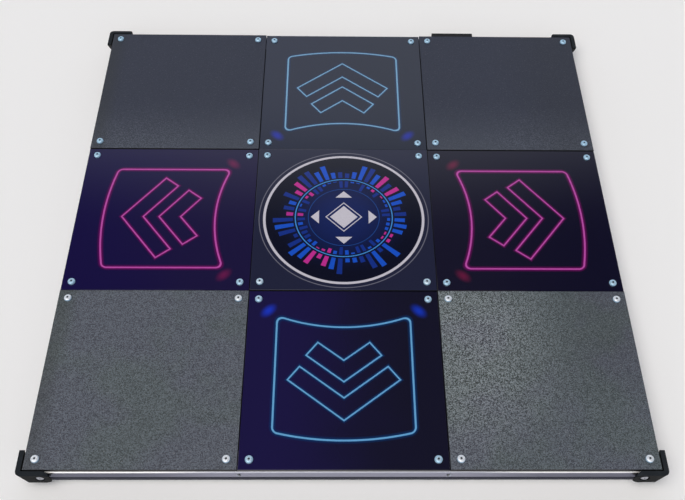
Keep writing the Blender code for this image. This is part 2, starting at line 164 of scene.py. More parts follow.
class Nodes:
    """A node tree that is filled in from Python."""

    def __init__(self, tree):
        self.tree = tree

    def plug(self, node, sockets):
        """Fills sockets with other nodes' outputs or with values. A colour is three numbers from 0 to 255."""
        for key, value in sockets.items():
            socket = node.inputs[key]
            if isinstance(value, Value):
                self.tree.links.new(value.socket, socket)
            elif socket.type == "RGBA" and len(value) == 3:
                socket.default_value = colour(*value)
            else:
                socket.default_value = value

    def node(self, kind, settings=None, sockets=None, output=0):
        """Adds one node, with its settings and then its sockets, and gives one of its outputs."""
        node = self.tree.nodes.new(kind)
        for name, value in (settings or {}).items():
            setattr(node, name, value)
        self.plug(node, sockets or {})
        return Value(self, node.outputs[output])

    def parts(self, vector):
        """The X, Y and Z of a vector."""
        split = self.node("ShaderNodeSeparateXYZ", sockets={0: vector})
        return [Value(self, socket) for socket in split.socket.node.outputs]


print("mid grey on a screen is", round(colour(128, 128, 128)[0], 3), "in linear light")

# %% [markdown]
# ## Finishes
#
# A finish is a material that is filled in piece by piece. All patterns are laid out in metres on the mat,
# so a print or a grain keeps its size on every piece. The plainest finishes, a tone mottled by one noise,
# share the function `mottled`.

# %% Finishes
class Finish(Nodes):
    """A material under construction, with its pattern laid out in metres on the mat."""

    def __init__(self, name, sockets):
        self.material = bpy.data.materials.new(name)
        self.material.use_nodes = True
        super().__init__(self.material.node_tree)
        self.shader = self.tree.nodes["Principled BSDF"]
        self.place = self.node("ShaderNodeTexCoord", output="Object")
        self.shade(sockets)

    def shade(self, sockets):
        self.plug(self.shader, sockets)

    def noise(self, scale, detail, place=None):
        sockets = {"Vector": place or self.place, "Scale": scale, "Detail": detail}
        return self.node("ShaderNodeTexNoise", sockets=sockets)

    def bump(self, height, distance, strength):
        sockets = {"Height": height, "Distance": distance, "Strength": strength}
        self.shade({"Normal": self.node("ShaderNodeBump", sockets=sockets, output="Normal")})

    def facing_up(self):
        """1 where the surface faces straight up, 0 on the sides, -1 where it faces down."""
        return self.parts(self.node("ShaderNodeTexCoord", output="Normal"))[2]

    def dark_sides(self, tone, side=(14, 14, 17)):
        """A tone, with a darker one on the sides: the sawn edges of a sheet, and a painted shade on moulded
        plastic.
        """
        return abs(self.facing_up()).step(0.55, 0.8).mix(side, tone)

    def coat(self, tone, rough=None, *relief):
        """Sets the colour and, where they vary, the roughness and the relief."""
        self.shade({"Base Color": tone})
        if rough:
            self.shade({"Roughness": rough})
        if relief:
            self.bump(*relief)
        return self

    def stretched(self, x, y, z):
        """The place on the mat, stretched so that a noise pattern runs in streaks."""
        return self.node("ShaderNodeMapping", sockets={"Vector": self.place, "Scale": (x, y, z)})


def mottled(name, scale, detail, first, second, rough, spread=0.0, relief=0.0, **sockets):
    """A finish whose tone, roughness and relief all follow one fine noise."""
    finish = Finish(name, sockets)
    mottle = finish.noise(scale, detail)
    if relief:
        finish.bump(mottle, relief, 0.4)
    return finish.coat(mottle.mix(first, second), rough + mottle * spread if spread else rough)


print("finishes can be made")

# %% [markdown]
# ## Studio light
#
# The mat was photographed indoors: pale surroundings near the horizon, a dim ceiling above, and a soft window
# on the left. Glossy panels show that room like a mirror, so the sky is bright up to about forty-five degrees
# and falls away above, which turns the far panels grey and leaves the near ones dark. A wide sun lamp stands
# for the window, since its light is equally strong everywhere and the floor stays even.
#
# The floor is the colour of the picture's background. The lamp and the sky together are just strong enough
# for a colour to come out as it was chosen, so the floor needs no glow of its own to look that pale.

# %% Floor, sky and window
BACKDROP = (251, 252, 254)
LOWER_SKY, CEILING = (0.74, 0.78, 0.86, 1), (0.05, 0.05, 0.06, 1)

world = bpy.data.worlds.new("studio")
world.use_nodes = True
bpy.context.scene.world = world
sky = Nodes(world.node_tree)
x, y, height = sky.parts(sky.node("ShaderNodeTexCoord", output="Generated"))
room = (height + x * x * 0.6).step(0.71, 0.81).mix(LOWER_SKY, CEILING)
sky.plug(world.node_tree.nodes["Background"], {"Color": room, "Strength": 1.0})

window = bpy.data.lights.new("window", "SUN")
window.energy, window.angle, window.color = 2.02, math.radians(60), (1.0, 0.95, 0.88)
lamp = bpy.data.objects.new("window", window)
bpy.context.scene.collection.objects.link(lamp)
lamp.rotation_mode = "QUATERNION"
lamp.rotation_quaternion = Vector((-0.28, -0.28, 0.92)).to_track_quat("Z", "Y")

bpy.ops.mesh.primitive_plane_add(size=40)
floor = bpy.context.object
floor.name = "floor"
floor_finish = Finish("floor", {"Base Color": BACKDROP, "Roughness": 0.9, "Specular IOR Level": 0.1})
floor.data.materials.append(floor_finish.material)
floor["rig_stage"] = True
print("window strength", window.energy)

# %% [markdown]
# ## Hand tools
#
# Modelling by hand is always the same few moves: add a primitive at its size and place, pick some faces or
# edges, run a tool on them, cut one shape out of another, and apply a modifier. Each move is written once.
#
# A tool in edit mode acts on everything that is selected, so `editing` first clears the selection and then
# picks by a rule on the points' places. A finished piece keeps its place in its mesh and its object at the
# origin, as the engineering nodes do, so that patterns measured in metres land where they should.

# %% Hand tools
def select_only(*pieces):
    bpy.ops.object.select_all(action="DESELECT")
    for piece in pieces:
        piece.select_set(True)
    bpy.context.view_layer.objects.active = pieces[0]


def settle(piece):
    """Moves the object's place into its mesh."""
    select_only(piece)
    bpy.ops.object.transform_apply(location=True, rotation=True, scale=True)
    return piece


def block(name, low, high):
    """A box between two corners."""
    low, high = Vector(low), Vector(high)
    bpy.ops.mesh.primitive_cube_add(size=1, location=(low + high) / 2, scale=high - low)
    bpy.context.object.name = name
    return settle(bpy.context.object)


def rod(name, centre, radius, depth, sides=32, turn=(0, 0, 0)):
    """A cylinder, upright unless it is turned."""
    bpy.ops.mesh.primitive_cylinder_add(
        vertices=sides, radius=radius, depth=depth, location=centre, rotation=turn
    )
    bpy.context.object.name = name
    return settle(bpy.context.object)


def near(value, target):
    return abs(value - target) < 0.00005


def everything(points):
    return True


@contextmanager
def editing(piece, kind, rule):
    """Edit mode on the corners, edges or faces whose points the rule accepts."""
    select_only(piece)
    mesh = piece.data
    groups = {"VERT": mesh.vertices, "EDGE": mesh.edges, "FACE": mesh.polygons}
    for group in groups.values():
        group.foreach_set("select", [False] * len(group))
    for element in groups[kind]:
        corners = [element] if kind == "VERT" else [mesh.vertices[index] for index in element.vertices]
        element.select = bool(rule([corner.co for corner in corners]))
    bpy.context.tool_settings.mesh_select_mode = [kind == each for each in groups]
    bpy.ops.object.mode_set(mode="EDIT")
    yield
    bpy.ops.object.mode_set(mode="OBJECT")


def bisect(piece, place, normal, **settings):
    with editing(piece, "FACE", everything):
        bpy.ops.mesh.bisect(plane_co=place, plane_no=normal, **settings)


def extrude(x, y, z):
    bpy.ops.mesh.extrude_region_move(TRANSFORM_OT_translate={"value": (x, y, z)})


def round_edges(piece, rule, width, segments):
    with editing(piece, "EDGE", rule):
        bpy.ops.mesh.bevel(offset=width, segments=segments, affect="EDGES")


print("primitives and edit mode ready")

# %% [markdown]
# The other half works on whole pieces: it applies modifiers, joins, cuts, rounds and copies them, and at
# the end `dress` gives a finished piece its material and its place among the engineering bodies.

# %% Hand tools for whole pieces
def apply_modifier(piece, kind, **settings):
    modifier = piece.modifiers.new(kind.lower(), kind)
    for name, value in settings.items():
        setattr(modifier, name, value)
    select_only(piece)
    bpy.ops.object.modifier_apply(modifier=modifier.name)


def joined(name, pieces):
    """Several meshes made one object."""
    if len(pieces) > 1:
        select_only(*pieces)
        bpy.ops.object.join()
    pieces[0].name = name
    return pieces[0]


def discard(*pieces):
    for piece in pieces:
        bpy.data.objects.remove(piece)


def cut(piece, *tools):
    """Takes the tools' shapes out of the piece."""
    tool = joined("cutter", tools)
    apply_modifier(piece, "BOOLEAN", operation="DIFFERENCE", solver="EXACT", object=tool)
    discard(tool)


def soften(piece, width, segments=2):
    """Rounds every sharp edge a little, and shades the roundings smooth."""
    apply_modifier(
        piece, "BEVEL", width=width, segments=segments, limit_method="ANGLE", angle_limit=math.radians(32)
    )
    return smooth(piece)


def smooth(piece, degrees=32):
    """Shades roundings smooth, while the large flat faces next to them keep their flat shading."""
    select_only(piece)
    bpy.ops.object.shade_smooth_by_angle(angle=math.radians(degrees))
    apply_modifier(piece, "WEIGHTED_NORMAL", weight=100, keep_sharp=True)
    return piece


def copy_of(piece, name, place=(0, 0, 0), turn=(0, 0, 0)):
    """A copy with its own mesh, turned and then moved."""
    copy = piece.copy()
    copy.data = piece.data.copy()
    copy.name = name
    bpy.context.scene.collection.objects.link(copy)
    copy.rotation_euler = turn
    copy.location = place
    return settle(copy)


def dress(piece, finish, nodes=(), body="platform"):
    """Gives a piece its material, the body it rides on and the engineering nodes it stands for."""
    if finish:
        piece.data.materials.clear()
        piece.data.materials.append(finish.material)
    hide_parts(*nodes)
    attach(piece, body)
    return piece


print("hand tools ready")

# %% [markdown]
# ## Corner tiles
#
# The four corner tiles are plain sheets of plastic with a pebbled grain, the kind that keeps a shoe from
# slipping. The sheet is a box with its upper rim rounded and a hole drilled at each corner.
#
# The grain could be real geometry, but pebbles of one millimetre on a square metre would take millions of
# faces. A Voronoi pattern of that size drives a bump instead. The same pattern gives every pebble a shade of
# its own. The tiles are painted darker at the back and paler and more speckled at the front, as painted
# sheen, with painted glints and a painted highlight patch on the front right tile.

# %% Corner tile finish
def pebbled():
    finish = Finish("pebbled_sheet", {"IOR": 1.5})
    x, y = finish.parts(finish.place)[:2]
    cells = {"Vector": finish.place, "Scale": 1000.0, "Randomness": 1.0}
    pebble = 1 - finish.node("ShaderNodeTexVoronoi", {"feature": "F1"}, cells)
    shade_of_pebble = finish.node("ShaderNodeTexVoronoi", {"feature": "F1"}, cells, "Color")
    grit = finish.noise(1200.0, 1)
    painted_glints = finish.noise(430.0, 2).step(0.62, 0.70)
    blotches = finish.noise(9.0, 3)
    # painted sheen: the front of the mat is coloured paler and more speckled than the back
    painted_front_sheen = y.step(0.20, -0.12)
    # painted highlight: a round patch on the front right tile
    painted_highlight_patch = 1 - length(x - 0.16, (y + 0.22) * 0.8).step(0.04, 0.19)
    grain = finish.parts(shade_of_pebble)[0] * 0.6 + grit * 0.4
    strong = grain.step(0.36, 0.70)
    back = grain.mix((31, 37, 54), (49, 55, 75))
    middle = grain.mix((48, 54, 68), (70, 76, 92))
    speckled = strong.mix((42, 48, 62), (82, 88, 104))
    middle = abs(x).step(0.20, 0.33).mix(middle, speckled)
    front = grain.step(0.15, 0.85).mix((20, 27, 37), (112, 122, 133))
    # in the painted highlight patch the grain runs from near black to pale, a painted sparkle
    wear_and_sparkle = strong.mix((12, 18, 25), (160, 170, 178))
    # painted shade and sheen: darker, bluer tones at the back, paler ones towards the front
    tone = y.step(0.26, 0.13).mix(back, middle)
    tone = painted_front_sheen.mix(tone, painted_highlight_patch.mix(front, wear_and_sparkle))
    # painted shade: the outer right part of the back right tile is coloured darker
    painted_edge_shade = x.step(0.26, 0.38) * y.step(-0.36, -0.22)
    tone = (painted_edge_shade * 0.3).mix(tone, (30, 34, 42))
    # painted glints: pale specks on the grain, strongest at the front
    tone = (painted_glints * (painted_front_sheen * 0.4 + 0.15)).mix(tone, (150, 154, 160))
    cast = blotches.step(0.40, 0.60).mix((76, 73, 94), (66, 80, 70))
    tone = (painted_front_sheen * 0.25).mix(tone, cast)
    # painted shade: a darker olive band along the mat's left edge
    tone = (x.step(-0.385, -0.415) * 0.35).mix(tone, (40, 44, 38))
    return finish.coat(finish.dark_sides(tone), 0.5 + grit * 0.12, pebble + grit * 0.5, 0.0003, 0.6)


corner_tile_finish = pebbled()
print("corner tile finish has", len(corner_tile_finish.tree.nodes), "nodes")

# %% [markdown]
# All nine tiles sit on a grid of 280 mm, with their screws a fixed step in from the grid's lines. One
# function makes any of them, at the size and height of the engineering node that it stands for.

# %% Corner tiles
PITCH = 0.280
SCREW_INSET = 0.0149
SCREW_REACH = PITCH / 2 - SCREW_INSET
HOLE_RADIUS = 0.0034


def flat_at(height):
    """A rule for `editing`: everything that lies flat at one height."""
    return lambda points: all(near(point.z, height) for point in points)


def tile_sheet(node, rim):
    """A sheet as large as its engineering node, with a rounded upper rim and four screw holes."""
    low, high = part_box(node)
    sheet = block(f"{node}_sheet", low, high)
    round_edges(sheet, flat_at(high.z), rim, 3)
    middle = (low + high) / 2
    x, y = [round(value / PITCH) * PITCH for value in middle.xy]
    spots = [(x + side * SCREW_REACH, y + way * SCREW_REACH) for side in (-1, 1) for way in (-1, 1)]
    cut(sheet, *[rod("drill", (*spot, middle.z), HOLE_RADIUS, 0.03, 20) for spot in spots])
    return smooth(sheet)


corner_tiles = [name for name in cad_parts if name.startswith("corner_tile")]
for node in corner_tiles:
    dress(tile_sheet(node, 0.0007), corner_tile_finish, [node])
print("made", len(corner_tiles), "corner tiles")

# %% [markdown]
# ## Arrow panels
#
# An arrow panel is a sheet of clear polycarbonate with a dark print on its back, so the picture lies under a
# hard gloss. The print is a frame with bent top and bottom sides and, inside it, two outlined chevrons that
# point away from the middle of the mat.
#
# The drawing could be painted, but lines that come from a formula stay sharp at any distance. For each shape
# the formula gives the distance from a point to its outline, in millimetres. A thin band round zero is the
# bright line, and a wider one is its glow. Each panel has the same drawing, turned to face outward: a Mapping
# node brings every place on a panel to the panel's own X, across, and Y, outward.

# %% Drawing on the arrow panels
def panel_place(finish, centre, turn):
    """The place on one panel: X across it and Y outward, in millimetres."""
    sockets = {"Vector": finish.place, "Location": centre, "Rotation": (0, 0, turn), "Scale": (0.001,) * 3}
    return finish.node("ShaderNodeMapping", {"vector_type": "TEXTURE"}, sockets)


HALF_WIDTH = 97
TOP_ARC, BOTTOM_ARC = (302, 398), (336.6, 257.1)
CHEVRONS = ((67, 100), (8.5, 68))


def frame_outline(across, outward):
    """Distance to the frame: straight sides, a bent top and bottom, and rounded corners.

    Each arc is given by how far inward its centre lies and by its radius. The lower corners are rounder.
    """
    corner = 7 + (outward * -0.5).math("MINIMUM", 4).math("MAXIMUM", 0)
    side = across + corner - HALF_WIDTH
    top = length(across, outward + TOP_ARC[0]) + corner - TOP_ARC[1]
    bottom = corner + BOTTOM_ARC[1] - length(across, outward + BOTTOM_ARC[0])
    end = top.math("MAXIMUM", bottom)
    inside = side.math("MAXIMUM", end).math("MINIMUM", 0)
    outside = length(side.math("MAXIMUM", 0), end.math("MAXIMUM", 0))
    return inside + outside - corner


def chevron_outline(across, outward, apex, arm):
    """Distance to one chevron: two square-ended bars that meet at its point."""
    slope, bar = math.radians(38), 26.6
    beyond = across * math.sin(slope) + (outward - apex) * math.cos(slope)
    along = across * math.cos(slope) - (outward - apex) * math.sin(slope)
    within = beyond.math("MAXIMUM", -bar - beyond)
    return within.math("MAXIMUM", along - arm)


def bright_line(distance, width, glow):
    """The shares of a line's bright core and of the glow round it."""
    away = abs(distance)
    core = 1 - away.step(width / 2 - 0.5, width / 2 + 0.5)
    return core, 1 - away.step(width / 2, width / 2 + glow)


def arrow_print(name, centre, turn, inks):
    """Print, gloss and the light spots of one arrow panel."""
    finish = Finish(f"arrow_print_{name}", {"Roughness": 0.09, "IOR": 1.58, "Emission Strength": 1.0})
    x, outward = finish.parts(panel_place(finish, centre, turn))[:2]
    across = abs(x)
    frame_core, frame_glow = bright_line(frame_outline(across, outward), 2.6, 4.5)
    core, glow = frame_core, frame_glow
    for apex, arm in CHEVRONS:
        outline = chevron_outline(across, outward, apex, arm)
        bar_core, bar_glow = bright_line(outline, 2.2, 3.5)
        core, glow = core.math("MAXIMUM", bar_core), glow.math("MAXIMUM", bar_glow)
    # the ground's left and right inks: partly print, partly a painted reflection, more violet on the mat's
    # left
    unevenness = finish.noise(9.0, 2) * 0.1
    to_the_right = finish.parts(finish.place)[0] - centre[0] + unevenness - 0.05
    ground = to_the_right.step(-0.11, 0.11).mix(inks["left"], inks["right"])
    picture = (glow * 0.8).mix(ground, inks["glow"])
    finish.shade({"Base Color": finish.dark_sides(core.mix(picture, inks["line"]))})
    # painted glow: the print itself emits the soft lamp spots; the chips below give no light
    lamp_across, lamp_outward = across - 110, outward + inks["reach"]
    tangent = (lamp_across + lamp_outward) * (0.7071 / 18)
    radial = (lamp_across - lamp_outward) * (0.7071 / 11)
    spot = 1 - length(tangent, radial).step(0.0, 1.0)
    finish.shade({"Emission Color": spot.mix((0, 0, 0, 1), inks["lamp"])})
    return finish


print("drawing defined")

# %% [markdown]
# ## The panels' colours
#
# The up and down panels are drawn in light blue, the left and right ones in magenta. Small lamps under two
# corners of each panel shine through the print, and their soft spots of blue or red are a painted glow in the
# print itself. The ground of the print is nearly black with a cast of violet, deepest on the left side of the
# mat; that shift from left to right is partly print and partly a painted reflection. No sheet is printed and
# cut perfectly, so each drawing sits a millimetre or two off the middle of its panel.

# %% Arrow panels
PALE_BLUE = {"line": (120, 172, 212), "glow": (0, 44, 88), "lamp": (4, 22, 140), "reach": 107.5}
BLUE = {"line": (106, 172, 224), "glow": (0, 52, 106), "lamp": (0, 44, 170), "reach": 107.5}
MAGENTA = {"line": (194, 84, 176), "glow": (108, 0, 94), "lamp": (90, 8, 40), "reach": 101.0}
QUARTER = math.pi / 2
PANELS = {
    "up": ((-0.0011, PITCH - 0.0006), 0, PALE_BLUE, (20, 28, 54), (20, 28, 50)),
    "left": ((-PITCH - 0.0010, -0.0017), QUARTER, MAGENTA, (22, 14, 68), (27, 20, 63)),
    "down": ((0.0003, -PITCH - 0.0021), 2 * QUARTER, BLUE, (27, 21, 69), (20, 19, 41)),
    "right": ((PITCH + 0.0016, -0.0023), -QUARTER, MAGENTA, (21, 19, 42), (13, 11, 38)),
}
for name, (centre, turn, lines, left, right) in PANELS.items():
    node = f"arrow_panel_{name}"
    panel = tile_sheet(node, 0.0005)
    drawing = arrow_print(name, (*centre, 0), turn, {**lines, "left": left, "right": right})
    dress(panel, drawing, [node], f"pad_{name}")
print("made", len(PANELS), "arrow panels")

# %% [markdown]
# ## Centre tile
#
# The middle tile is fixed, and carries a round print in the same blues under the same gloss. This one is a
# plain design of its own: a white ring, a circle of sound bars, a diamond and four small pointers.
#
# Round patterns are simplest in polar form, a radius and an angle. The angle is cut into forty-eight equal
# slices, a White Noise node gives every slice its own random number, and that number sets the bar's length.

# %% Centre tile
def centre_print():
    finish = Finish("centre_print", {"Roughness": 0.09, "IOR": 1.58})
    x, y = finish.parts(panel_place(finish, (0.0008, -0.0021, 0), 0))[:2]
    radius = length(x, y)
    turns = y.math("ARCTAN2", x) / (2 * math.pi) + 0.5
    slices = turns * 48
    number = slices.math("FLOOR")
    in_slice = 1 - abs(slices.math("FRACT") - 0.5).step(0.26, 0.34)

    def random_by_slice(offset):
        return finish.node("ShaderNodeTexWhiteNoise", {"noise_dimensions": "1D"}, {"W": number + offset})

    def band(inner, outer):
        return (radius - inner).step(-0.4, 0.4) * (1 - (radius - outer).step(-0.4, 0.4))

    first, second, third = [random_by_slice(offset) for offset in (0.5, 90.5, 180.5)]
    outer_bars = band(80, 84 + first * 28) * in_slice
    inner_bars = band(72 - second * 14, 73) * in_slice
    rim = radius.step(20, 110).mix((18, 34, 92), (9, 12, 34))
    picture = radius.step(121, 124).mix(rim, (34, 37, 62))
    bars = third.step(0.80, 0.84).mix((24, 84, 205), (196, 48, 150))
    bars = second.step(0.55, 0.60).mix(bars, (20, 50, 140))
    picture = outer_bars.math("MAXIMUM", inner_bars).mix(picture, bars)
    picture = band(75.6, 77.2).mix(picture, (70, 150, 225))
    picture = band(55.4, 56.4).mix(picture, (30, 74, 150))

    larger, smaller = abs(x).math("MAXIMUM", abs(y)), abs(x).math("MINIMUM", abs(y))
    diamond = larger + smaller
    pointer = (smaller + larger - 52).math("MAXIMUM", 39 - larger)
    pale = 1 - diamond.step(21.4, 22.2)
    pale = pale.math("MAXIMUM", 1 - abs(diamond - 28).step(0.7, 1.5))
    pale = pale.math("MAXIMUM", 1 - pointer.step(-0.4, 0.4))
    pale = pale.math("MAXIMUM", band(122.9, 126.9))
    picture = pale.mix(picture, (206, 203, 216))
    picture = band(132.4, 133.8).mix(picture, (112, 112, 128))
    return finish.coat(finish.dark_sides(picture))


dress(tile_sheet("centre_tile", 0.0005), centre_print(), ["centre_tile"])
print("made the centre tile")

# %% [markdown]
# ## Screws and threaded plates
#
# Thirty-six button-head screws hold the tiles down, four round each inner crossing of the grid, two at each
# edge and one at each corner. Underneath, the screws of one crossing share a steel plate they thread into.
#
# A button head is a short cylinder whose upper rim is given a wide, round bevel, with a hexagon cut into it
# for the key. The shank is extruded from the underside. One screw is modelled and copied, and each copy is
# turned by another angle, because nobody stops all the keys at the same place.

# %% Zinc and the inside of a key socket
def zinc(name, metal, first, second):
    """Plated steel, bluish, with a painted highlight on the tops of the heads near the front."""
    finish = Finish(name, {"Metallic": metal})
    cloudy = finish.noise(380.0, 3)
    y, z = finish.parts(finish.place)[1:]
    bright = cloudy.mix((230, 240, 254), (246, 250, 255))
    blue = cloudy.mix(first, second)
    # painted highlight: the domes of the screws near the front are coloured almost white
    painted_front_sheen = y.step(-0.10, -0.16) * z.step(0.0368, 0.0378)
    return finish.coat(painted_front_sheen.mix(blue, bright), 0.24 + cloudy * 0.2)


zinc_finish = zinc("bright_zinc", 0.35, (140, 190, 226), (204, 234, 253))
steel_finish = zinc("dull_steel", 0.8, (116, 118, 122), (142, 144, 148))
# painted shade for the faces inside key sockets and slots
socket_shade_finish = mottled("painted_socket_shade", 900.0, 2, (30, 38, 50), (64, 76, 92), 0.7)
print("finishes for the fixings ready")

# %% [markdown]
# A screw is made standing on height 0, the underside of its head. The inner crossings need longer ones, since
# their plates lie deeper, in the joint where two beams cross. Only the faces inside the key's socket get a
# darker finish, a painted shade for the recess.

# %% One button-head screw
HEAD_RADIUS, HEAD_HEIGHT, SHANK_RADIUS = 0.0055, 0.0033, 0.0030


def two_finishes(screw, finish, low, high, reach):
    """Gives a screw its finish, and a darker one, painted shade, to the faces inside its socket."""
    screw.data.materials.append(finish.material)
    screw.data.materials.append(socket_shade_finish.material)
    for face in screw.data.polygons:
        face.material_index = int(low < face.center.z < high and face.center.xy.length < reach)


def button_screw(shank, radius=HEAD_RADIUS, dome=0.0024, key=0.0017, finish=zinc_finish):
    screw = rod("screw", (0, 0, HEAD_HEIGHT / 2), radius, HEAD_HEIGHT, 40)
    round_edges(screw, flat_at(HEAD_HEIGHT), dome, 6)
    with editing(screw, "FACE", flat_at(0)):
        bpy.ops.mesh.inset(thickness=radius - SHANK_RADIUS)
        extrude(0, 0, -shank)
    cut(screw, rod("key", (0, 0, HEAD_HEIGHT), key, 0.0030, 6))
    two_finishes(screw, finish, 0.001, HEAD_HEIGHT - 0.0001, key)
    return smooth(screw, 28)


short_screw, long_screw = button_screw(0.01065), button_screw(0.01745)
print("screw has", len(short_screw.data.polygons), "faces")

# %% [markdown]
# The plates are placed from the grid itself: a crossing's plate reaches under every tile that meets there.
# Each plate is joined with its screws into one piece, because the engineering model has them as one solid
# too.

# %% Screws and plates
GRID = [PITCH * step for step in (-1.5, -0.5, 0.5, 1.5)]
COLUMNS = ("left", "mid_left", "mid_right", "right")
ROWS = ("front", "mid_front", "mid_back", "back")
INNER_PLATE, CORNER_PLATE, EDGE_PLATE = (0.0394, 0.0394), (0.030, 0.030), (0.048, 0.025)
PLATE_REACH = 0.417
DEEP_PLATE, HIGH_PLATE = (0.0160, 0.0197), (0.0234, 0.0259)
TILE_SEAT, PANEL_SEAT = 0.0353, 0.0338
KEY_TURN = 0.37


def plate_corners(line_x, line_y):
    """The plate under one crossing: square inside the grid and at its corners, oblong along its edges."""
    inner_x, inner_y = line_x in (1, 2), line_y in (1, 2)
    size = {(True, True): INNER_PLATE, (False, False): CORNER_PLATE}.get((inner_x, inner_y), EDGE_PLATE)
    if inner_y and not inner_x:
        size = size[::-1]
    middle = []
    for line, extent, inner in ((line_x, size[0], inner_x), (line_y, size[1], inner_y)):
        middle.append(GRID[line] if inner else math.copysign(PLATE_REACH - extent / 2, GRID[line]))
    low, high = DEEP_PLATE if inner_x and inner_y else HIGH_PLATE
    x, y = middle
    return (x - size[0] / 2, y - size[1] / 2, low), (x + size[0] / 2, y + size[1] / 2, high)


screw_count = 0
for line_x, column in enumerate(COLUMNS):
    for line_y, row in enumerate(ROWS):
        node = f"fixing_{row}_{column}"
        pieces = [soften(block(f"{node}_set", *plate_corners(line_x, line_y)), 0.0004)]
        pieces[0].data.materials.append(zinc_finish.material)
        model = long_screw if line_x in (1, 2) and line_y in (1, 2) else short_screw
        for step_x, step_y in ((-1, -1), (-1, 0), (0, -1), (0, 0)):
            cell_x, cell_y = line_x + step_x, line_y + step_y
            if cell_x in range(3) and cell_y in range(3):
                seat = PANEL_SEAT if (cell_x + cell_y) % 2 else TILE_SEAT
                x = GRID[line_x] + (2 * step_x + 1) * SCREW_INSET
                y = GRID[line_y] + (2 * step_y + 1) * SCREW_INSET
                pieces.append(copy_of(model, "screw", (x, y, seat), (0, 0, screw_count * KEY_TURN)))
                screw_count += 1
        dress(joined(f"{node}_set", pieces), None, [node])
discard(short_screw, long_screw)
print("placed", screw_count, "screws")

# %% [markdown]
# ## Frame rails
#
# Each side of the frame is an aluminium channel: a web on the outside, a wide upper flange that carries the
# tiles and a lower one that rests on the base board. Its upper outer edge is rolled round, and this round
# edge carries a painted highlight that flashes white along the front of the mat, palest towards the ends.
#
# The channel starts as the web alone. Two bisections mark off its top and bottom, whose inner faces are then
# extruded into the flanges. The ends are cut at forty-five degrees to meet the next rail.

# %% Frame rails
RAIL_LOW, RAIL_HIGH, RAIL_FACE, RAIL_WALL = 0.0118, 0.0282, -0.4210, 0.002
UPPER_FLANGE, LOWER_FLANGE = 0.0290, 0.0190


def channel():
    inner = RAIL_FACE + RAIL_WALL
    rail = block("rail", (-0.4212, RAIL_FACE, RAIL_LOW), (0.4212, inner, RAIL_HIGH))
    for height in (RAIL_LOW + RAIL_WALL, RAIL_HIGH - RAIL_WALL):
        bisect(rail, (0, 0, height), (0, 0, 1))
    half = RAIL_WALL / 2
    for middle, width in ((RAIL_HIGH - half, UPPER_FLANGE), (RAIL_LOW + half, LOWER_FLANGE)):
        def inner_face(points):
            return all(near(point.y, inner) and abs(point.z - middle) < 0.0011 for point in points)

        with editing(rail, "FACE", inner_face):
            extrude(0, width, 0)
    for height, radius, segments in ((RAIL_HIGH, 0.003, 8), (RAIL_LOW, 0.0018, 4)):
        def outer_edge(points):
            return all(near(point.y, RAIL_FACE) and near(point.z, height) for point in points)

        round_edges(rail, outer_edge, radius, segments)
    for side in (-1, 1):
        bisect(rail, (side * 0.4208, RAIL_FACE, 0), (side, 1, 0), use_fill=True, clear_outer=True)
    return rail


front_rail = channel()
holes = [line + side * SCREW_INSET for line in GRID for side in (-1, 1)][1:-1]
screw_line = GRID[0] + SCREW_INSET
cut(front_rail, *[rod("drill", (x, screw_line, RAIL_HIGH), HOLE_RADIUS, 0.01, 16) for x in holes])
print("rail is", [round(size * 1000, 1) for size in front_rail.dimensions], "mm")

# %% [markdown]
# Two small countersunk screws hold each rail to the beams behind it. Their seats are cones cut into the web,
# and the screws stand for themselves, a little below the surface.
#
# Extruded aluminium keeps faint lines along its length from the die. They come from a noise stretched along
# the rail, which tints the metal, roughens it and gives it a very shallow bump. Over them the web is painted
# darker towards the rail's ends and along its lower edge, as painted shade.

# %% Rail finish, seats and copies
def drawn_aluminium(name, stretch):
    finish = Finish(name, {})
    x, y, z = finish.parts(finish.place)
    lines = finish.noise(60.0, 5, finish.stretched(*stretch))
    haze = finish.noise(22.0, 2)
    upright = finish.facing_up()
    rolled_edge = upright.step(0.10, 0.35) * (1 - upright.step(0.95, 0.99))
    from_middle = abs(x).math("MINIMUM", abs(y))
    painted_end_highlight = rolled_edge * from_middle.step(0.16, 0.27)
    middle = lines.mix((140, 141, 162), (166, 167, 187))
    ends = lines.mix((94, 96, 117), (116, 118, 139))
    # painted shade: the web is coloured darker towards the ends
    face_with_painted_shade = from_middle.step(0.13, 0.30).mix(middle, ends)
    # painted shade: the web is coloured darker along its lower edge
    face_with_painted_shade = (z.step(0.0160, 0.0125) * 0.8).mix(face_with_painted_shade, (74, 76, 92))
    # painted highlight: the rolled edge is paler than the web, near white and less metallic towards the ends
    edge = painted_end_highlight.mix((180, 182, 192), (252, 252, 253))
    finish.shade({"Metallic": 1 - painted_end_highlight * 0.6})
    rough = 0.22 + lines * 0.14 + haze * 0.08
    return finish.coat(rolled_edge.mix(face_with_painted_shade, edge), rough, lines, 0.00004, 0.6)


def cone(name, centre, wide, narrow, depth, turn):
    bpy.ops.mesh.primitive_cone_add(
        vertices=28, radius1=wide, radius2=narrow, depth=depth, location=centre, rotation=turn
    )
    bpy.context.object.name = name
    return settle(bpy.context.object)


SIDES = ("front", "right", "back", "left")
SEAT_X, SEAT_Z = 0.1395, 0.0205
for side in (-1, 1):
    seat = (side * SEAT_X, RAIL_FACE + 0.0009, SEAT_Z)
    cut(front_rail, cone("seat", seat, 0.0040, 0.0022, 0.002, (-QUARTER, 0, 0)))
smooth(front_rail, 25)

